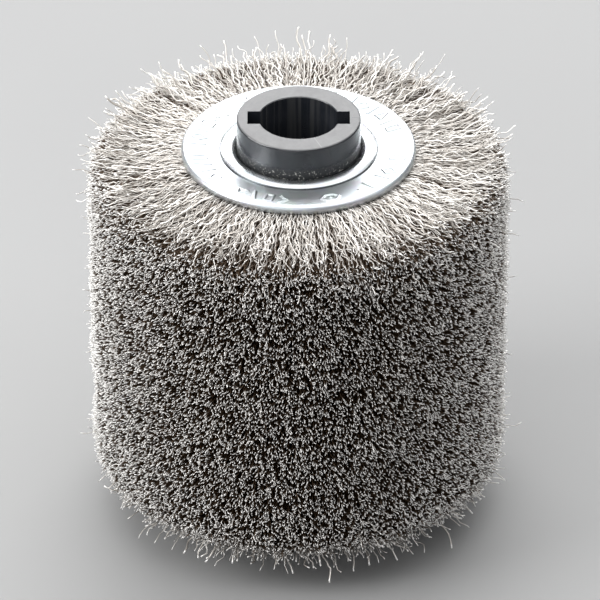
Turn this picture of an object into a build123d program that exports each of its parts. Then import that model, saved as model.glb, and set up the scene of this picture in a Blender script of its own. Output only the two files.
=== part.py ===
from build123d import *
import math
import os

# Wire drum brush on a keyed plastic sleeve, standing on end: +Z runs along the bore,
# and the origin is the middle of the bore. Sizes are in millimetres.

# ---- driving dimensions ----
bore_diameter = 19.05          # 3/4 inch arbor
keyway_width = 5.7
keyway_span = 24.5             # across the bottoms of the two keyways
sleeve_diameter = 29.8
sleeve_standout = 7.65         # sleeve end face above the plate's outer face
rim_fillet = 0.5               # rounded outer rim of the sleeve's ends
bore_chamfer = 0.2

brush_diameter = 101.6         # 4 inch
face_width = 90.8              # over the two end plates
section_count = 7              # wheel sections stacked on the core tube

tube_wall = 1.0
lip_bend = 0.9                 # bend radius of the tube over the plate's hole
lip_crown = 3.7                # outer half of the rolled lip, seen in section
lip_edge_angle = 35            # slope of the lip where it ends, in degrees

plate_diameter = 56.4
plate_thickness = 1.0
plate_rim_drop = 1.4           # depth of the turned-down rim, from the outer face
plate_rim_bend = 1.1
plate_dish = 0.9               # rise of the plate's face from the lip out to the rim
seat_diameter = 38.4           # flat middle of the plate, under the tube's lip

ring_wire_diameter = 2.6       # ring that the wires are folded round
separator_diameter = 50.0
separator_thickness = 0.8
running_gap = 0.1              # fill and loose rings over the core tube
end_face_drop = 2.05           # fall of the wire ends from the plate's rim to the shoulder
shoulder_radius = 6.0          # worn round edge of the brush face

# ---- values that follow ----
bore_radius = bore_diameter / 2
sleeve_radius = sleeve_diameter / 2
sleeve_length = face_width + 2 * sleeve_standout
brush_radius = brush_diameter / 2
plate_face = face_width / 2
plate_radius = plate_diameter / 2
plate_back = plate_face - plate_thickness
seat_face = plate_face - plate_dish
seat_back = seat_face - plate_thickness
seat_radius = seat_diameter / 2
tube_radius = sleeve_radius + tube_wall
fill_bore_radius = tube_radius + running_gap
fill_length = 2 * seat_back
section_pitch = fill_length / section_count
ring_radius = fill_bore_radius + ring_wire_diameter / 2
separator_radius = separator_diameter / 2
corner = math.sqrt(0.5)


def arc_middle(centre_r, centre_z, radius, side_r, side_z):
    """Middle point of a quarter arc that faces the side_r, side_z quadrant."""
    return (centre_r + side_r * radius * corner, centre_z + side_z * radius * corner)


def save(part, name):
    part.label = name
    export_step(part, f"parts/{name}.step")


os.makedirs("parts", exist_ok=True)

# ---- keyed sleeve: plastic, one piece through the whole brush ----
with BuildPart() as keyed_sleeve:
    with BuildSketch(Plane.XY.offset(-sleeve_length / 2)):
        Circle(sleeve_radius)
    extrude(amount=sleeve_length)
    end_rims = keyed_sleeve.edges().filter_by(GeomType.CIRCLE)
    fillet(end_rims, radius=rim_fillet)
    with BuildSketch(Plane.XY.offset(-sleeve_length / 2)):
        Circle(bore_radius)
        Rectangle(keyway_span, keyway_width)
    extrude(amount=sleeve_length, mode=Mode.SUBTRACT)
    bore_mouths = keyed_sleeve.edges().filter_by(GeomType.CIRCLE).filter_by(
        lambda edge: abs(edge.radius - bore_radius) < 0.01
    )
    chamfer(bore_mouths, length=bore_chamfer)
save(keyed_sleeve.part, "keyed_sleeve")

# ---- core tube: steel, pressed on the sleeve, both ends rolled out over the plates ----
bend_start = seat_face - lip_bend
bend_centre_r = tube_radius + lip_bend
lip_top = seat_face + tube_wall
lip_end_r = bend_centre_r + lip_crown * math.sin(math.radians(lip_edge_angle))
lip_end_z = lip_top - lip_crown * (1 - math.cos(math.radians(lip_edge_angle)))
lip_middle_r = bend_centre_r + lip_crown * math.sin(math.radians(lip_edge_angle / 2))
lip_middle_z = lip_top - lip_crown * (1 - math.cos(math.radians(lip_edge_angle / 2)))

with BuildPart() as core_tube:
    with BuildSketch(Plane.XZ):
        with BuildLine():
            Line((sleeve_radius, -bend_start), (sleeve_radius, bend_start))
            Line((tube_radius, -bend_start), (tube_radius, bend_start))
            for up in (1, -1):
                # inside of the roll, over its crown, and down to the seat
                ThreePointArc(
                    (sleeve_radius, up * bend_start),
                    arc_middle(bend_centre_r, up * bend_start, lip_bend + tube_wall, -1, up),
                    (bend_centre_r, up * lip_top),
                )
                ThreePointArc(
                    (bend_centre_r, up * lip_top),
                    (lip_middle_r, up * lip_middle_z),
                    (lip_end_r, up * lip_end_z),
                )
                Line((lip_end_r, up * lip_end_z), (lip_end_r, up * seat_face))
                Line((lip_end_r, up * seat_face), (bend_centre_r, up * seat_face))
                ThreePointArc(
                    (bend_centre_r, up * seat_face),
                    arc_middle(bend_centre_r, up * bend_start, lip_bend, -1, up),
                    (tube_radius, up * bend_start),
                )
        make_face()
    revolve(axis=Axis.Z)
save(core_tube.part, "core_tube")

# ---- end plates: dished steel washers, held under the lip, rim turned down into the wires ----
rim_centre_r = plate_radius - plate_rim_bend
rim_inner_bend = plate_rim_bend - plate_thickness
rim_inside = plate_radius - plate_thickness
rim_bottom = plate_face - plate_rim_drop

with BuildPart() as end_plate_top:
    with BuildSketch(Plane.XZ):
        with BuildLine():
            # hole and outer face
            Line((tube_radius, seat_back), (tube_radius, bend_start))
            ThreePointArc(
                (tube_radius, bend_start),
                arc_middle(bend_centre_r, bend_start, lip_bend, -1, 1),
                (bend_centre_r, seat_face),
            )
            Line((bend_centre_r, seat_face), (seat_radius, seat_face))
            Line((seat_radius, seat_face), (rim_centre_r, plate_face))
            ThreePointArc(
                (rim_centre_r, plate_face),
                arc_middle(rim_centre_r, plate_face - plate_rim_bend, plate_rim_bend, 1, 1),
                (plate_radius, plate_face - plate_rim_bend),
            )
            Line((plate_radius, plate_face - plate_rim_bend), (plate_radius, rim_bottom))
            # back of the sheet
            Line((plate_radius, rim_bottom), (rim_inside, rim_bottom))
            Line((rim_inside, rim_bottom), (rim_inside, plate_back - rim_inner_bend))
            ThreePointArc(
                (rim_inside, plate_back - rim_inner_bend),
                arc_middle(rim_centre_r, plate_back - rim_inner_bend, rim_inner_bend, 1, 1),
                (rim_centre_r, plate_back),
            )
            Line((rim_centre_r, plate_back), (seat_radius, seat_back))
            Line((seat_radius, seat_back), (tube_radius, seat_back))
        make_face()
    revolve(axis=Axis.Z)
save(end_plate_top.part, "end_plate_top")

with BuildPart() as end_plate_bottom:
    mirror(end_plate_top.part, about=Plane.XY)
save(end_plate_bottom.part, "end_plate_bottom")


# ---- wheel sections: crimped wire folded round a ring, with thin discs between ----
def section_outline(low, high, is_bottom, is_top):
    """Draws half the cross-section of one section's wire fill, in the XZ plane."""
    middle = (low + high) / 2
    half_ring = ring_wire_diameter / 2
    recess = separator_thickness / 2
    low_root = low if is_bottom else low + recess
    high_root = high if is_top else high - recess

    # inner side, upwards, round the groove that holds the ring
    Line((fill_bore_radius, low_root), (fill_bore_radius, middle - half_ring))
    Line((fill_bore_radius, middle - half_ring), (ring_radius, middle - half_ring))
    ThreePointArc(
        (ring_radius, middle - half_ring),
        (ring_radius + half_ring, middle),
        (ring_radius, middle + half_ring),
    )
    Line((ring_radius, middle + half_ring), (fill_bore_radius, middle + half_ring))
    Line((fill_bore_radius, middle + half_ring), (fill_bore_radius, high_root))

    # upper and lower sides, out to the brush face
    face_high = end_side(high_root, 1) if is_top else inner_side(high, high_root)
    face_low = end_side(low_root, -1) if is_bottom else inner_side(low, low_root)
    Line((brush_radius, face_low), (brush_radius, face_high))


def inner_side(side, root):
    """Side that meets the next section, recessed at the root for the separator."""
    Line((fill_bore_radius, root), (separator_radius, root))
    Line((separator_radius, root), (separator_radius, side))
    Line((separator_radius, side), (brush_radius, side))
    return side


def end_side(root, up):
    """Side under an end plate: follows its pressing, then falls to a round shoulder."""
    back = up * plate_back
    rim = up * rim_bottom
    edge = rim - up * end_face_drop
    shoulder_r = brush_radius - shoulder_radius
    shoulder_z = edge - up * shoulder_radius
    Line((fill_bore_radius, root), (seat_radius, root))
    Line((seat_radius, root), (rim_centre_r, back))
    Line((rim_centre_r, back), (rim_centre_r, rim))
    Line((rim_centre_r, rim), (plate_radius, rim))
    Line((plate_radius, rim), (shoulder_r, edge))
    ThreePointArc(
        (shoulder_r, edge),
        arc_middle(shoulder_r, shoulder_z, shoulder_radius, 1, up),
        (brush_radius, shoulder_z),
    )
    return shoulder_z


for index in range(section_count):
    low = -fill_length / 2 + index * section_pitch
    high = low + section_pitch
    middle = (low + high) / 2

    with BuildPart() as wire_fill:
        with BuildSketch(Plane.XZ):
            with BuildLine():
                section_outline(low, high, index == 0, index == section_count - 1)
            make_face()
        revolve(axis=Axis.Z)
    save(wire_fill.part, f"wire_fill_{index + 1}")

    with BuildPart() as retaining_ring:
        with BuildSketch(Plane.XZ):
            with Locations((ring_radius, middle)):
                Circle(ring_wire_diameter / 2)
        revolve(axis=Axis.Z)
    save(retaining_ring.part, f"retaining_ring_{index + 1}")

    if index < section_count - 1:
        with BuildPart() as separator:
            with BuildSketch(Plane.XY.offset(high - separator_thickness / 2)):
                Circle(separator_radius)
                Circle(fill_bore_radius, mode=Mode.SUBTRACT)
            extrude(amount=separator_thickness)
        save(separator.part, f"separator_{index + 1}")
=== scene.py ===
"""Wire drum brush on a keyed plastic sleeve: materials, crimped wires, lights and camera.

Lengths are in metres, in the CAD model's frame: +Z is the bore axis, and the origin is the
middle of the bore. Sizes that are natural in millimetres are written as a number times MM.
"""
import math

import bpy
import numpy as np
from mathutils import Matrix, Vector


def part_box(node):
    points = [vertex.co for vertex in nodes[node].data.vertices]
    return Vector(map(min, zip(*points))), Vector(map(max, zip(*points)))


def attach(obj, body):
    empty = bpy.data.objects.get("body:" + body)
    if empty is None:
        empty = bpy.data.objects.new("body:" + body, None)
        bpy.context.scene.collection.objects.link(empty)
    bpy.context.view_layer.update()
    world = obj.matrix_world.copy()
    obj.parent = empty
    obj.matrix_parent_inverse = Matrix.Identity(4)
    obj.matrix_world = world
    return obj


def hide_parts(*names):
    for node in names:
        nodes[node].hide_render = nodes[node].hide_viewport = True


MM = 0.001
TURN = 2 * math.pi

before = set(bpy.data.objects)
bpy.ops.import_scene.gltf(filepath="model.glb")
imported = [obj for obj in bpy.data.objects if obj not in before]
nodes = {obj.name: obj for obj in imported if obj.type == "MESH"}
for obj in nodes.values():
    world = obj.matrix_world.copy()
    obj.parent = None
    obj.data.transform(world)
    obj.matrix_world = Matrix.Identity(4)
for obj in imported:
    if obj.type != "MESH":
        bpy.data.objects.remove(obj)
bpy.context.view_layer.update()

# ---- places and sizes, read from the CAD frame ----
SECTIONS = sorted((n for n in nodes if n.startswith("wire_fill_")), key=lambda n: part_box(n)[0][2])
BRUSH_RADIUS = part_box(SECTIONS[1])[1][0]
TUBE_LIP_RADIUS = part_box("core_tube")[1][0]
TUBE_LIP_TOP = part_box("core_tube")[1][2]
PLATE_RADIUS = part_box("end_plate_top")[1][0]
PLATE_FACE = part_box("end_plate_top")[1][2]
PLATE_RIM_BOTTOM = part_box("end_plate_top")[0][2]
PLATE_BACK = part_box(SECTIONS[-1])[1][2]
SLEEVE_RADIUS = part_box("keyed_sleeve")[1][0]
BORE_RADIUS = 9.525 * MM       # for a 3/4 inch arbor
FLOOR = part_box("keyed_sleeve")[0][2]
RING_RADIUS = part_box("retaining_ring_1")[1][0]

# ---- the wire ----
WIRE_DIAMETER = 0.20 * MM
CRIMP_LENGTH = 5.2 * MM
CRIMP_HEIGHT = 0.48 * MM
TIP_SPACING = 0.65 * MM
SHOULDER = 6.0 * MM            # round edge between brush face and end
END_DROP = 2.05 * MM           # fall of the wire ends from the plate's rim to the shoulder
CROWN_DEPTH = 3.4 * MM         # wires this close to an end show their sides
SKIN_DEPTH = 1.2 * MM          # and this close, they show from the plate to the tip
# crimped length, back from the tip, of the wires in each place
FACE_SEEN = 5.6 * MM
DEEP_SEEN = 4.8 * MM
CROWN_SEEN = 12 * MM
SKIN_SEEN = 24 * MM
WIRE_SIDES = 3
POINT_SPACING = 0.95 * MM      # along a crimped wire
SECTORS = 3                    # meshes that each section's wires are split into


# =====================================================================================
# Node helpers
# =====================================================================================
class Nodes:
    """A material's node tree with short calls to add and link nodes."""

    def __init__(self, name):
        self.material = bpy.data.materials.new(name)
        self.material.use_nodes = True
        self.tree = self.material.node_tree
        self.shader = self.tree.nodes["Principled BSDF"]
        self.position = self.add("ShaderNodeTexCoord").outputs["Object"]

    def add(self, kind, **settings):
        node = self.tree.nodes.new(kind)
        for key, value in settings.items():
            setattr(node, key, value)
        return node

    def feed(self, socket, value):
        """Links value to socket if it is a socket, and stores it otherwise."""
        if isinstance(value, bpy.types.NodeSocket):
            self.tree.links.new(value, socket)
        else:
            socket.default_value = value

    def set(self, name, value):
        self.feed(self.shader.inputs[name], value)

    def math(self, operation, a, b=0.0):
        node = self.add("ShaderNodeMath", operation=operation)
        self.feed(node.inputs[0], a)
        self.feed(node.inputs[1], b)
        return node.outputs[0]

    def times(self, a, b):
        return self.math("MULTIPLY", a, b)

    def parts(self, vector):
        """The x, y and z of a vector."""
        split = self.add("ShaderNodeSeparateXYZ")
        self.feed(split.inputs[0], vector)
        return split.outputs

    def noise(self, scale, detail=3.0, roughness=0.5, vector=None, distortion=0.0):
        node = self.add("ShaderNodeTexNoise")
        self.feed(node.inputs["Vector"], vector or self.position)
        node.inputs["Scale"].default_value = scale
        node.inputs["Detail"].default_value = detail
        node.inputs["Roughness"].default_value = roughness
        node.inputs["Distortion"].default_value = distortion
        return node.outputs["Fac"]

    def cell_colour(self, scale):
        """A flat random colour for each cell of a Voronoi pattern."""
        node = self.add("ShaderNodeTexVoronoi")
        self.feed(node.inputs["Vector"], self.position)
        node.inputs["Scale"].default_value = scale
        return node.outputs["Color"]

    def stretch(self, scale):
        """The position, scaled by a different amount along each axis."""
        node = self.add("ShaderNodeVectorMath", operation="MULTIPLY")
        self.feed(node.inputs[0], self.position)
        node.inputs[1].default_value = scale
        return node.outputs[0]

    def remap(self, value, low, high, to_low=0.0, to_high=1.0):
        node = self.add("ShaderNodeMapRange", interpolation_type="SMOOTHSTEP")
        self.feed(node.inputs["Value"], value)
        node.inputs["From Min"].default_value = low
        node.inputs["From Max"].default_value = high
        node.inputs["To Min"].default_value = to_low
        node.inputs["To Max"].default_value = to_high
        return node.outputs["Result"]

    def ramp(self, value, *stops):
        node = self.add("ShaderNodeValToRGB")
        self.feed(node.inputs["Fac"], value)
        elements = node.color_ramp.elements
        while len(elements) < len(stops):
            elements.new(0.5)
        for element, (place, colour) in zip(elements, stops):
            element.position = place
            element.color = (*colour, 1.0)
        return node.outputs["Color"]

    def mix(self, factor, a, b, blend="MIX"):
        node = self.add("ShaderNodeMix", data_type="RGBA", blend_type=blend)
        self.feed(node.inputs["Factor"], factor)
        colours = [s for s in node.inputs if s.type == "RGBA"]
        for socket, value in zip(colours, (a, b)):
            self.feed(socket, (*value, 1.0) if isinstance(value, tuple) else value)
        return next(s for s in node.outputs if s.type == "RGBA")

    def attribute(self, name):
        return self.add("ShaderNodeAttribute", attribute_name=name).outputs["Fac"]

    def bump(self, height, distance, strength=1.0, after=None):
        node = self.add("ShaderNodeBump")
        self.feed(node.inputs["Height"], height)
        node.inputs["Distance"].default_value = distance
        node.inputs["Strength"].default_value = strength
        if after is not None:
            self.feed(node.inputs["Normal"], after)
        return node.outputs["Normal"]

    def radius(self):
        """Distance from the bore axis."""
        x, y, _ = self.parts(self.position)
        return self.math("SQRT", self.math("ADD", self.times(x, x), self.times(y, y)))

    def line(self, angle, start, end, half_width):
        """A soft straight line across an end face, between two radii at one angle."""
        x, y, _ = self.parts(self.position)
        c, s = math.cos(angle), math.sin(angle)
        along = self.math("ADD", self.times(x, c), self.times(y, s))
        off = self.math("SUBTRACT", self.times(y, c), self.times(x, s))
        near = self.remap(self.math("ABSOLUTE", off), 0.4 * half_width, half_width, 1.0, 0.0)
        begun = self.math("GREATER_THAN", along, start)
        going = self.math("LESS_THAN", along, end)
        return self.times(near, self.times(begun, going))


# =====================================================================================
# Materials
# =====================================================================================
def crimped_wire_material():
    """Drawn steel wire: a tone for each wire, painted shade and grime deep in, painted highlights on
    cut tips.
    """
    m = Nodes("crimped_wire")
    steel = m.ramp(
        m.attribute("tone"),
        (0.0, (0.42, 0.385, 0.35)),
        (0.5, (0.74, 0.71, 0.67)),
        (1.0, (0.95, 0.93, 0.90)),
    )
    stain = m.remap(m.noise(300, detail=4), 0.42, 0.68)
    stained = m.mix(m.times(stain, 0.30), steel, (0.38, 0.33, 0.28))
    # depth is in mm under the brush's surface, and reach goes from 0 at the ring to 1 at the tip
    # deeper wires turn darker and browner: painted shade between the wires, with some grime
    grime_and_painted_shade = m.mix(m.remap(m.attribute("depth"), 0.05, 0.80), stained, (0.108, 0.070, 0.042))
    # the last fraction of a millimetre turns near white: bare cut steel, brightened as a painted
    # highlight
    bare_tip_and_painted_highlight = m.remap(m.attribute("reach"), 0.972, 0.992, 0.0, 0.9)
    m.set("Base Color", m.mix(bare_tip_and_painted_highlight, grime_and_painted_shade, (1.0, 0.985, 0.96)))
    m.set("Metallic", 0.55)
    m.set("Roughness", m.remap(m.noise(900, detail=2), 0.3, 0.7, 0.34, 0.52))
    return m.material


def zinc_material(name, tint, rough_low, rough_high):
    """Bright zinc plate: spangle, haze, fine scratches, painted shade on the marks' slopes and a
    painted shadow by the lip.
    """
    m = Nodes(name)
    spangle = m.cell_colour(420)
    haze = m.noise(140, detail=5, roughness=0.6)
    base = m.mix(m.remap(haze, 0.3, 0.75), tint, tuple(0.9 * c for c in tint))
    base = m.mix(0.035, base, spangle)
    # the slopes of the stamped marks darkened: painted shade
    base = m.mix(m.times(m.attribute("flank"), 0.55), base, (0.20, 0.215, 0.225))
    lip = TUBE_LIP_RADIUS
    # a dark ring on the plate just outside the lip's edge: a painted contact shadow
    lip_contact_shadow = m.remap(m.radius(), lip + 0.05 * MM, lip + 0.5 * MM, 0.7, 0.0)
    lip_contact_shadow = m.times(lip_contact_shadow, m.math("GREATER_THAN", m.radius(), lip - 0.1 * MM))
    base = m.mix(lip_contact_shadow, base, (0.10, 0.105, 0.11))
    streaks = m.noise(60, detail=6, vector=m.stretch((9.0, 1.0, 1.0)), distortion=0.4)
    scratch = m.remap(streaks, 0.58, 0.64)
    m.set("Base Color", base)
    m.set("Metallic", 1.0)
    rough = m.remap(haze, 0.25, 0.75, rough_low, rough_high)
    m.set("Roughness", m.math("ADD", rough, m.times(scratch, 0.06)))
    soft = m.bump(m.noise(70, detail=2), 0.05 * MM, 0.25)
    m.set("Normal", m.bump(m.noise(1400, detail=4), 0.012 * MM, 0.5, after=soft))
    return m.material


def plastic_material():
    """Black moulded plastic: frosted end faces, and a satin side, darker and rougher with light
    specks just above the lips.
    """
    m = Nodes("black_plastic")
    normal_z = m.parts(m.add("ShaderNodeTexCoord").outputs["Normal"])["Z"]
    end_face = m.remap(m.math("ABSOLUTE", normal_z), 0.55, 0.98)
    outside = m.remap(m.radius(), SLEEVE_RADIUS * 0.64, SLEEVE_RADIUS * 0.66)
    cloud = m.noise(210, detail=4)

    side = m.mix(m.remap(cloud, 0.3, 0.7), (0.012, 0.014, 0.018), (0.020, 0.022, 0.027))
    ribs = m.remap(m.noise(700, detail=2, vector=m.stretch((1.0, 1.0, 0.03))), 0.45, 0.65)
    in_bore = m.math("SUBTRACT", 1.0, outside)
    side = m.mix(m.times(in_bore, ribs), side, (0.042, 0.043, 0.045))

    face = m.mix(m.remap(cloud, 0.3, 0.7), (0.080, 0.080, 0.082), (0.097, 0.097, 0.099))
    knit_line = m.line(math.radians(292), BORE_RADIUS, SLEEVE_RADIUS, 0.09 * MM)
    nick = m.line(0.0, 12.7 * MM, 14.2 * MM, 0.10 * MM)
    face = m.mix(m.times(knit_line, 0.35), face, (0.34, 0.34, 0.34))
    face = m.mix(m.times(nick, 0.8), face, (0.03, 0.03, 0.03))

    height = m.math("ABSOLUTE", m.parts(m.position)["Z"])
    near_lip = m.remap(height, TUBE_LIP_TOP + 0.9 * MM, TUBE_LIP_TOP + 2.4 * MM, 1.0, 0.0)
    on_side = m.remap(m.radius(), SLEEVE_RADIUS * 0.97, SLEEVE_RADIUS * 0.98)
    # a band just above the lips: darker and rougher, with light specks
    lip_band = m.times(near_lip, on_side)
    specks = m.remap(m.noise(2100, detail=2, roughness=0.6), 0.60, 0.68)
    colour = m.mix(m.times(end_face, outside), side, face)
    colour = m.mix(m.times(lip_band, 0.8), colour, (0.006, 0.007, 0.008))
    colour = m.mix(m.times(m.times(lip_band, specks), 0.8), colour, (0.50, 0.49, 0.46))
    m.set("Base Color", colour)

    rough = m.remap(m.noise(1500, detail=2), 0.3, 0.7, 0.18, 0.26)
    rough = m.math("ADD", rough, m.times(end_face, 0.28))
    m.set("Roughness", m.math("ADD", rough, m.times(lip_band, 0.3)))
    m.set("Specular IOR Level", 0.75)
    grain = m.bump(m.noise(3600, detail=2), 0.02 * MM, 0.45)
    m.set("Normal", m.bump(m.noise(420, detail=2), 0.03 * MM, 0.3, after=grain))
    return m.material


def plain_steel_material(name, dark, light, rough):
    """Mill-finish steel of the hidden rings and discs, with oil stain and rolling lines."""
    m = Nodes(name)
    stain = m.remap(m.noise(180, detail=5), 0.35, 0.7)
    m.set("Base Color", m.mix(stain, light, dark))
    m.set("Metallic", 1.0)
    m.set("Roughness", m.remap(m.noise(700, detail=3), 0.3, 0.7, rough, rough + 0.15))
    m.set("Normal", m.bump(m.noise(900, vector=m.stretch((1.0, 14.0, 1.0))), 0.01 * MM, 0.4))
    return m.material


def floor_material():
    """Matt paper, lighter far from the brush as painted light against the lamps' fall-off, so that
    it fades into the horizon.
    """
    m = Nodes("studio_floor")
    far = m.remap(m.radius(), 0.7, 1.6)
    cloud = m.remap(m.noise(3, detail=3), 0.3, 0.7)
    near_tone = m.mix(cloud, (0.255, 0.255, 0.255), (0.275, 0.275, 0.273))
    # lighter far away: painted light that makes up for the lamps' fall-off
    m.set("Base Color", m.mix(far, near_tone, (0.90, 0.90, 0.90)))
    m.set("Roughness", 0.65)
    m.set("Normal", m.bump(m.noise(420, detail=3), 0.05 * MM, 0.15))
    return m.material


# =====================================================================================
# Meshes
# =====================================================================================
def mesh_from_arrays(name, points, quads, triangles=None):
    """An object whose mesh has these points, quads and triangles, all numpy arrays."""
    mesh = bpy.data.meshes.new(name)
    mesh.vertices.add(len(points))
    mesh.vertices.foreach_set("co", points.astype(np.float32).ravel())
    corners = [quads.ravel()]
    starts = [np.arange(len(quads)) * 4]
    if triangles is not None:
        corners.append(triangles.ravel())
        starts.append(quads.size + np.arange(len(triangles)) * 3)
    corners = np.concatenate(corners).astype(np.int32)
    starts = np.concatenate(starts).astype(np.int32)
    mesh.loops.add(len(corners))
    mesh.loops.foreach_set("vertex_index", corners)
    mesh.polygons.add(len(starts))
    mesh.polygons.foreach_set("loop_start", starts)
    mesh.update(calc_edges=True)
    piece = bpy.data.objects.new(name, mesh)
    bpy.context.scene.collection.objects.link(piece)
    return piece


def wire_tubes(name, paths, tone, reach, gauge):
    """Closed tubes with flat cut ends along paths, an array of (wire, point, xyz).

    tone, reach and depth become attributes that the wire's material reads."""
    from_axis = np.hypot(paths[..., 0], paths[..., 1])
    under_end = end_surface(from_axis) - np.abs(paths[..., 2])
    # depth drives the wire material's painted shade, darker deeper in the brush
    depth = np.minimum(BRUSH_RADIUS - from_axis, 0.85 * under_end) / MM
    count, points, _ = paths.shape
    along = np.gradient(paths, axis=1)
    along /= np.linalg.norm(along, axis=2, keepdims=True)
    side = np.cross(along, (0.0, 0.0, 1.0))
    side /= np.linalg.norm(side, axis=2, keepdims=True)
    across = np.cross(side, along)
    # a tube of few sides is drawn a little wider, so that it looks as wide as a round wire
    radius = gauge * WIRE_DIAMETER * math.pi / (2 * WIRE_SIDES * math.sin(math.pi / WIRE_SIDES))
    angle = np.arange(WIRE_SIDES) * TURN / WIRE_SIDES + tone[:, None] * 40.0
    ring = (
        side[:, :, None] * np.cos(angle)[:, None, :, None]
        + across[:, :, None] * np.sin(angle)[:, None, :, None]
    )
    verts = (paths[:, :, None] + radius * ring).reshape(-1, 3)
    start = (np.arange(count) * points * WIRE_SIDES)[:, None, None]
    step = (np.arange(points - 1) * WIRE_SIDES)[None, :, None]
    here = np.arange(WIRE_SIDES)[None, None]
    following = (here + 1) % WIRE_SIDES
    low = start + step
    high = low + WIRE_SIDES
    quads = np.stack([low + following, low + here, high + here, high + following], -1)
    root = start[:, 0] + np.arange(WIRE_SIDES)[None]
    tip = root[:, ::-1] + (points - 1) * WIRE_SIDES
    piece = mesh_from_arrays(name, verts, quads.reshape(-1, 4), np.concatenate([root, tip]))
    mesh = piece.data
    sharp = np.ones(len(mesh.polygons), bool)
    sharp[: quads.size // 4] = False
    mesh.attributes.new("sharp_face", "BOOLEAN", "FACE").data.foreach_set("value", sharp)
    for label, value in (("tone", np.repeat(tone, points)), ("reach", reach), ("depth", depth)):
        spread = np.repeat(value.ravel(), WIRE_SIDES).astype(np.float32)
        mesh.attributes.new(label, "FLOAT", "POINT").data.foreach_set("value", spread)
    return piece


def smooth_field(rng, shortest, longest, count=60):
    """A smooth random function of angle and height, of size about 1, that closes round the brush."""
    length = rng.uniform(shortest, longest, count)
    heading = rng.uniform(0, TURN, count)
    turns = np.round(TURN * BRUSH_RADIUS / length * np.cos(heading))
    rise = TURN / length * np.sin(heading)
    phase = rng.uniform(0, TURN, count)

    def value(angle, height):
        total = np.zeros_like(angle)
        for m, k, p in zip(turns, rise, phase):
            total += np.cos(m * angle + k * height + p)
        return total * math.sqrt(2 / count)

    return value


def bends(rng, radii, tip, lean, hook):
    """Side and end steps of crimped wires: waves in random planes, a slow lean and a bent tip."""
    count = len(tip)
    side, end = np.zeros_like(radii), np.zeros_like(radii)
    finer = (0.55 * CRIMP_LENGTH, 0.32 * CRIMP_HEIGHT)
    for length, height in ((CRIMP_LENGTH, CRIMP_HEIGHT), finer):
        plane, phase = rng.uniform(0, TURN, (2, count, 1))
        length = length * rng.uniform(0.8, 1.25, (count, 1))
        wave = height * rng.uniform(0.5, 1.5, (count, 1)) * np.sin(TURN * radii / length + phase)
        side += wave * np.cos(plane)
        end += wave * np.sin(plane)
    to_tip = tip[:, None] - radii
    leaning = (1 - to_tip / (12 * MM)).clip(0) ** 1.4
    hooked = (1 - to_tip / (2.6 * MM)).clip(0) ** 2
    for step in (side, end):
        step += leaning * rng.normal(0, lean, (count, 1))
        step += hooked * rng.normal(0, hook, (count, 1))
    return side, end


def cylinder_paths(angle, radii, sideways, heights):
    """Points from cylinder coordinates: angle of each wire, then radius, side step and height."""
    c, s = np.cos(angle)[:, None], np.sin(angle)[:, None]
    return np.stack([c * radii - s * sideways, s * radii + c * sideways, heights], -1)


def scatter(rng, low, high, spacing):
    """Wire tips at one per cell of a grid on the brush face, each anywhere in its cell."""
    around = round(TURN * BRUSH_RADIUS / spacing)
    rows = max(1, round((high - low) / spacing))
    i, j = np.meshgrid(np.arange(around), np.arange(rows), indexing="ij")
    angle = (i.ravel() + rng.uniform(-0.2, 1.2, around * rows)) * TURN / around
    height = low + (j.ravel() + rng.uniform(-0.2, 1.2, around * rows)) * (high - low) / rows
    return angle % TURN, np.clip(height, low, high)


clump_sideways = smooth_field(np.random.default_rng(11), 3.5 * MM, 11 * MM)
clump_endways = smooth_field(np.random.default_rng(12), 3.5 * MM, 11 * MM)
face_waviness = smooth_field(np.random.default_rng(13), 5 * MM, 25 * MM)


def clumped(angle, height, radii, size):
    """Side and end steps that draw neighbouring wires together, growing towards the tips."""
    share = size * ((radii - RING_RADIUS) / (BRUSH_RADIUS - RING_RADIUS)).clip(0) ** 1.4
    side = clump_sideways(angle, height)[:, None] * share
    end = clump_endways(angle, height)[:, None] * share
    return side, end


def face_wires(rng, low, high):
    """Wires of a middle section: one straight run from the ring, then crimped where they show."""
    angle, tip_height = scatter(rng, low, high, TIP_SPACING)
    count = len(angle)
    tip = BRUSH_RADIUS + rng.normal(0.0, 0.22 * MM, count)
    tip = tip + 0.2 * MM * face_waviness(angle, tip_height)
    tip = tip - rng.exponential(0.65 * MM, count).clip(0, 3.0 * MM)
    tip = tip + (rng.random(count) < 0.02) * rng.exponential(0.8 * MM, count).clip(0, 2.5 * MM)
    part = np.concatenate([np.linspace(0, 0.93, 6), [1.0]])
    radii = tip[:, None] - FACE_SEEN * (1 - part)[None]
    radii = np.concatenate([np.full((count, 1), RING_RADIUS), radii], 1)
    middle = (low + high) / 2
    fan = 0.93 + 0.07 * (radii - RING_RADIUS) / (BRUSH_RADIUS - RING_RADIUS)
    side, end = bends(rng, radii, tip, 0.80 * MM, 0.15 * MM)
    clump_side, clump_end = clumped(angle, tip_height, radii, 0.20 * MM)
    heights = middle + (tip_height - middle)[:, None] * fan + end + clump_end
    paths = cylinder_paths(angle, radii, side + clump_side, heights)
    return angle, paths, (radii - RING_RADIUS) / (tip - RING_RADIUS)[:, None]


def end_surface(radii):
    """Height of the top end's outermost wires: under the plate's rim, then down to the shoulder."""
    rim = PLATE_RIM_BOTTOM - 0.2 * MM
    edge = PLATE_RIM_BOTTOM - END_DROP
    marks = np.array([
        (PLATE_RADIUS - 1.2 * MM, PLATE_BACK - 0.4 * MM),
        (PLATE_RADIUS, rim),
        (PLATE_RADIUS + 2.6 * MM, rim + 0.2 * MM),
        (BRUSH_RADIUS - SHOULDER, edge),
        (BRUSH_RADIUS, edge - 0.6 * MM),
    ])
    return np.interp(radii, marks[:, 0], marks[:, 1])


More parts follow.
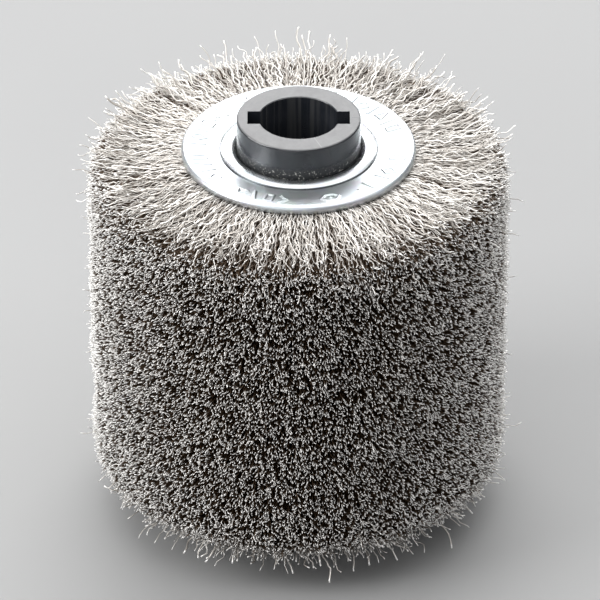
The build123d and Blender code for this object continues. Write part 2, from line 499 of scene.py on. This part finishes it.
def shoulder_tip(height):
    """Radius at which a wire at this height meets the round shoulder of the top end."""
    centre = PLATE_RIM_BOTTOM - END_DROP - SHOULDER
    over = (height - centre).clip(0, SHOULDER * 0.995)
    return BRUSH_RADIUS - SHOULDER + np.sqrt(SHOULDER**2 - over**2)


def end_wires(rng, low, depth_from, depth_to, spacing, seen, stray=0.30):
    """Wires of the top section, between two depths below the end surface at the shoulder.

    seen is the crimped length, back from the tip, as far in as the plate's rim at most. stray is
    the share of the outermost wires that stand up out of the end. The others droop at the tip."""
    edge = PLATE_RIM_BOTTOM - END_DROP
    angle, nominal = scatter(rng, edge - depth_to, edge - depth_from, spacing)
    count = len(angle)
    share = (nominal - low) / (edge - low)
    near_end = np.exp(-(edge - nominal) / (1.0 * MM))
    strays = rng.random(count) < 0.02 + stray * near_end
    droop = rng.exponential(2.5 * MM, count).clip(0, 5.6 * MM) * near_end * ~strays
    tip = shoulder_tip(nominal - droop) + rng.normal(0.0, 0.3 * MM, count)
    tip = tip - rng.exponential(0.5 * MM, count).clip(0, 3.0 * MM)
    tip = tip + strays * rng.exponential(1.7 * MM, count).clip(0, 5.0 * MM)
    start = np.maximum(tip - seen, PLATE_RADIUS - 2.0 * MM)
    steps = round(seen / POINT_SPACING)
    part = np.concatenate([np.linspace(0, 1 - 0.4 / steps, steps), [1.0]])
    radii = start[:, None] + (tip - start)[:, None] * part[None]
    radii = np.concatenate([np.full((count, 1), RING_RADIUS), radii], 1)
    side, end = bends(rng, radii, tip, 1.3 * MM, 0.5 * MM)
    clump_side, clump_end = clumped(angle, nominal, radii, 0.3 * MM)
    free = ((radii - PLATE_RADIUS) / (BRUSH_RADIUS - PLATE_RADIUS)).clip(0, 1.25)
    wander = rng.normal(0, 1.4 * MM, count)[:, None] * free * (1 - 0.5 * free)
    splay = near_end * rng.exponential(0.5 * MM, count)
    splay = splay + strays * near_end * rng.gamma(2.0, 2.2 * MM, count)
    splay = splay.clip(0, 7.5 * MM)[:, None] * free**2.4
    hang = ((radii - PLATE_RADIUS) / (tip[:, None] - PLATE_RADIUS)).clip(0, 1) ** 3
    calm = 0.55 + 0.45 * ((radii - PLATE_RADIUS) / (4 * MM)).clip(0, 1)
    heights = low + share[:, None] * (end_surface(radii) - low) + calm * end + clump_end + splay
    heights = heights - droop[:, None] * hang
    ceiling = np.where(radii < PLATE_RADIUS + 0.5 * MM, PLATE_RIM_BOTTOM - 0.18 * MM, 1.0)
    paths = cylinder_paths(angle, radii, side + clump_side + wander, np.minimum(heights, ceiling))
    return angle, paths, (radii - RING_RADIUS) / (tip - RING_RADIUS)[:, None]


def add_wires(name, rng, node, sectors, wires, flip=False, gauge=1.0):
    """Splits wires into sectors and makes one mesh of each."""
    angle, paths, reach = wires
    tone = rng.beta(1.8, 1.9, len(angle))
    if flip:
        paths = paths * (1, 1, -1)
    for s in range(sectors):
        chosen = (angle >= s * TURN / sectors) & (angle < (s + 1) * TURN / sectors)
        piece = wire_tubes(f"{name}_{s + 1}", paths[chosen], tone[chosen], reach[chosen], gauge)
        piece.data.materials.append(wire_material)
        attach(piece, "root")
        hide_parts(node)


wire_material = crimped_wire_material()
last = len(SECTIONS) - 1
for index, node in enumerate(SECTIONS):
    rng = np.random.default_rng(100 + index)
    low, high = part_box(node)[0][2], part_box(node)[1][2]
    if 0 < index < last:
        add_wires(f"wires_{index + 1}", rng, node, SECTORS, face_wires(rng, low, high))
        continue
    flip = index == 0
    low = -high if flip else low
    inner = PLATE_RIM_BOTTOM - END_DROP - low
    deep = end_wires(rng, low, CROWN_DEPTH, inner, TIP_SPACING, DEEP_SEEN)
    add_wires(f"wires_{index + 1}", rng, node, 2, deep, flip)
    crown = end_wires(rng, low, SKIN_DEPTH, CROWN_DEPTH, 0.86 * TIP_SPACING, CROWN_SEEN)
    add_wires(f"crown_{index + 1}", rng, node, 2, crown, flip)
    skin = end_wires(rng, low, 0.0, SKIN_DEPTH, 0.62 * TIP_SPACING, SKIN_SEEN)
    add_wires(f"skin_{index + 1}", rng, node, 3, skin, flip)
    strands = end_wires(rng, low, 0.0, 0.5 * MM, 1.5 * MM, SKIN_SEEN, stray=1.4)
    add_wires(f"strands_{index + 1}", rng, node, 1, strands, flip, gauge=1.9)


# ---- end plates with stamped marks ----
PLATE_STEPS = 1080             # points round the plate
PLATE_EDGE_BEND = 1.1 * MM     # radius of the bend at the rim
PLATE_SHEET = 1.0 * MM         # thickness
PLATE_GAP = 1.05 * MM          # between the plate's hole and the sleeve
PLATE_DISH = 0.9 * MM          # rise of the plate's face from the lip out to the rim
SEAT_RADIUS = 19.2 * MM        # flat part under the lip
MARK_RADIUS = 24.3 * MM        # middle of the row of marks
MARK_HEIGHT = 0.26 * MM
STROKE = 0.15 * MM             # half the width of a stamped stroke
FLANK = 0.34 * MM              # width of the slope down from a stroke


def outline(corners):
    """Strokes round a closed shape."""
    return [(*a, *b) for a, b in zip(corners, corners[1:] + corners[:1])]


def regular(sides, width, height, start=0.0):
    """Strokes round a regular shape with this many sides."""
    turns = start + np.arange(sides) * TURN / sides
    return outline([(width * math.cos(a), height * math.sin(a)) for a in turns])


SLANT = [(-0.7, -1.8, 0.7, 1.8)]
BACK_SLANT = [(0.7, -1.8, -0.7, 1.8)]
BAR = [(0.0, -1.8, 0.0, 1.8)]
CHEVRON = [(-0.9, -1.7, 0.8, 0.0), (0.8, 0.0, -0.9, 1.7)]
CROSS = [(-0.9, -0.9, 0.9, 0.9), (-0.9, 0.9, 0.9, -0.9)]
DOT = [(0.0, 0.0, 0.0, 0.0)]
ARROW = [(-5.0, 0.0, 5.0, 0.0), (3.4, -1.3, 5.0, 0.0), (3.4, 1.3, 5.0, 0.0)]
SQUARE = outline([(-0.9, -1.6), (0.9, -1.6), (0.9, 1.6), (-0.9, 1.6)])
TRIANGLE = regular(3, 1.5, 1.8, TURN / 4)
DIAMOND = regular(4, 1.4, 1.8)
HEXAGON = regular(6, 2.2, 1.7)
# marks round the plate, in degrees from +X: plain tallies and shapes that say nothing
GROUPS = [
    (20, 7.5, [SQUARE, BAR, TRIANGLE, BAR, DIAMOND, BAR]),
    (72, 8, [CHEVRON, CHEVRON, CHEVRON]),
    (112, 6, [ARROW]),
    (140, 7.5, [BAR, CROSS, SQUARE, BAR, DIAMOND, BAR]),
    (192, 7.5, [SQUARE, BACK_SLANT, BAR, TRIANGLE]),
    (236, 8.6, [TRIANGLE, SLANT, SQUARE, CHEVRON]),
    (288, 6, [HEXAGON]),
    (288, 6, [DOT]),
    (306, 7, [DOT, BAR]),
    (325, 7.5, [BAR, DIAMOND, SLANT, SQUARE]),
]


def stamped(angle, radius):
    """Share of the marks' full height, 0 to 1, for grids of angle and radius."""
    height = np.zeros_like(angle)
    for start, spacing, marks in GROUPS:
        for place, mark in enumerate(marks):
            centre = math.radians(start + place * spacing)
            off = (angle - centre + math.pi) % TURN - math.pi
            u, w = off * MARK_RADIUS, radius - MARK_RADIUS
            for x1, y1, x2, y2 in np.array(mark) * MM:
                run = (x2 - x1) ** 2 + (y2 - y1) ** 2
                t = ((u - x1) * (x2 - x1) + (w - y1) * (y2 - y1)) / run if run else 0.0
                t = np.clip(t, 0, 1)
                gap = np.hypot(u - x1 - t * (x2 - x1), w - y1 - t * (y2 - y1)) - STROKE
                soft = (1 - gap / FLANK).clip(0, 1)
                height = np.maximum(height, soft * soft * (3 - 2 * soft))
    return height


def add_end_plate(node, flip):
    """A dished washer under the tube's lip: stamped face, rim turned down."""
    around = PLATE_STEPS
    bend = np.linspace(0, math.pi / 2, 9)[1:]
    edge_r = PLATE_RADIUS - PLATE_EDGE_BEND
    inner_r = PLATE_RADIUS - PLATE_SHEET
    hole_r = SLEEVE_RADIUS + PLATE_GAP
    drop = PLATE_FACE - PLATE_RIM_BOTTOM
    fine = np.arange(SEAT_RADIUS + 1.2 * MM, edge_r - 0.2 * MM, 0.15 * MM)
    slope = PLATE_DISH / (edge_r - SEAT_RADIUS)
    top = [(TUBE_LIP_RADIUS - 1.9 * MM, -PLATE_DISH), (SEAT_RADIUS, -PLATE_DISH)]
    top += [(r, slope * (r - SEAT_RADIUS) - PLATE_DISH) for r in fine]
    top += [
        (edge_r + PLATE_EDGE_BEND * math.sin(a), -PLATE_EDGE_BEND * (1 - math.cos(a)))
        for a in bend
    ]
    under = [
        (PLATE_RADIUS - 0.05 * MM, -drop + 0.04 * MM),
        (PLATE_RADIUS - 0.2 * MM, -drop),
        (inner_r + 0.1 * MM, -drop),
        (inner_r, -drop + 0.1 * MM),
        (edge_r, -PLATE_SHEET - 0.05 * MM),
        (SEAT_RADIUS, -PLATE_SHEET - PLATE_DISH),
        (hole_r, -PLATE_SHEET - PLATE_DISH),
        (hole_r, -0.9 * MM - PLATE_DISH),
        (hole_r + 0.26 * MM, -0.26 * MM - PLATE_DISH),
    ]
    profile = np.array(top + under)
    angle = np.arange(around) * TURN / around
    grid_angle, grid_r = np.meshgrid(angle, profile[:, 0], indexing="ij")
    grid_z = np.broadcast_to(profile[:, 1], grid_r.shape).copy()
    face = slice(2, 2 + len(fine))
    share = stamped(grid_angle[:, face], grid_r[:, face])
    grid_z[:, face] += MARK_HEIGHT * share
    # flank marks the slopes of the stamped marks, which the plate's material darkens as painted
    # shade
    flank = np.zeros_like(grid_z)
    flank[:, face] = 4 * share * (1 - share)
    grid_x, grid_y = grid_r * np.cos(grid_angle), grid_r * np.sin(grid_angle)
    points = np.stack([grid_x, grid_y, PLATE_FACE + grid_z], -1)
    rows = len(profile)
    i, j = np.meshgrid(np.arange(around), np.arange(rows), indexing="ij")
    next_i, next_j = (i + 1) % around, (j + 1) % rows
    here, following = i * rows, next_i * rows
    quads = np.stack([here + j, here + next_j, following + next_j, following + j], -1)
    quads = quads.reshape(-1, 4)
    if flip:
        points = points * (1, 1, -1)
        quads = quads[:, ::-1]
    piece = mesh_from_arrays(node + "_stamped", points.reshape(-1, 3), quads)
    edge = piece.data.attributes.new("flank", "FLOAT", "POINT")
    edge.data.foreach_set("value", flank.ravel().astype(np.float32))
    piece.data.materials.append(plate_material)
    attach(piece, "root")
    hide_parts(node)


plate_material = zinc_material("zinc_plated_plate", (0.56, 0.59, 0.61), 0.33, 0.45)
add_end_plate("end_plate_top", False)
add_end_plate("end_plate_bottom", True)


# ---- the CAD nodes that stay ----
def finish_node(name, material):
    node = nodes[name]
    node.data.materials.clear()
    node.data.materials.append(material)


finish_node("keyed_sleeve", plastic_material())
finish_node("core_tube", zinc_material("zinc_plated_tube", (0.50, 0.52, 0.535), 0.22, 0.32))
ring_material = plain_steel_material("ring_wire", (0.28, 0.27, 0.25), (0.50, 0.49, 0.47), 0.35)
disc_material = plain_steel_material("plain_steel", (0.30, 0.29, 0.28), (0.52, 0.51, 0.49), 0.30)
for name in nodes:
    if name.startswith("retaining_ring_"):
        finish_node(name, ring_material)
    if name.startswith("separator_"):
        finish_node(name, disc_material)


# =====================================================================================
# Floor, lights and camera
# =====================================================================================
def add_floor():
    """A round floor, wide enough to meet the horizon in low views."""
    around, inner_r, outer_r = 96, 0.6, 15.0
    angle = np.arange(around) * TURN / around
    ring = np.stack([np.cos(angle), np.sin(angle), np.zeros(around)], -1)
    points = np.concatenate([inner_r * ring, outer_r * ring, [(0, 0, 0)]]) + (0, 0, FLOOR)
    here = np.arange(around)
    following = (here + 1) % around
    quads = np.stack([here, around + here, around + following, following], -1)
    centre = np.stack([here, following, np.full(around, 2 * around)], -1)
    floor = mesh_from_arrays("floor", points, quads, centre)
    floor.data.materials.append(floor_material())


def add_light(name, place, size, watts):
    """A softbox that faces the middle of the brush."""
    light = bpy.data.lights.new(name, "AREA")
    light.shape = "RECTANGLE"
    light.size, light.size_y = size
    light.energy = watts
    lamp = bpy.data.objects.new(name, light)
    lamp.location = place
    lamp.rotation_euler = Vector(place).to_track_quat("Z", "Y").to_euler()
    bpy.context.scene.collection.objects.link(lamp)


def add_camera():
    """Long lens, 33 degrees above the brush's middle, looking along +Y."""
    elevation = math.radians(33.35)
    distance = 1.4
    target = Vector((0.32 * MM, 0.0, 0.85 * MM))
    back = Vector((0.0, -math.cos(elevation), math.sin(elevation)))
    camera = bpy.data.cameras.new("camera")
    camera.sensor_width = 36.0
    camera.lens = 344.2
    camera.clip_start = 0.05
    camera.clip_end = 20.0
    holder = bpy.data.objects.new("camera", camera)
    holder.location = target + back * distance
    holder.rotation_euler = back.to_track_quat("Z", "Y").to_euler()
    bpy.context.scene.collection.objects.link(holder)
    bpy.context.scene.camera = holder


def add_world():
    world = bpy.data.worlds.new("studio")
    world.use_nodes = True
    background = world.node_tree.nodes["Background"]
    background.inputs["Color"].default_value = (0.80, 0.82, 0.85, 1.0)
    background.inputs["Strength"].default_value = 0.36
    bpy.context.scene.world = world


add_floor()
add_world()
add_light("top_softbox", (0.0, 0.05, 0.90), (1.5, 1.3), 13.0)
add_light("back_softbox", (0.0, 1.0, 0.62), (1.4, 0.5), 15.0)
add_light("left_softbox", (-0.95, -0.25, 0.60), (0.6, 0.6), 11.0)
add_light("right_softbox", (0.95, -0.25, 0.60), (0.6, 0.6), 0.9)
add_light("front_softbox", (-0.30, -1.15, 0.60), (0.9, 0.5), 3.0)
add_camera()
bpy.context.scene.view_settings.view_transform = "Standard"
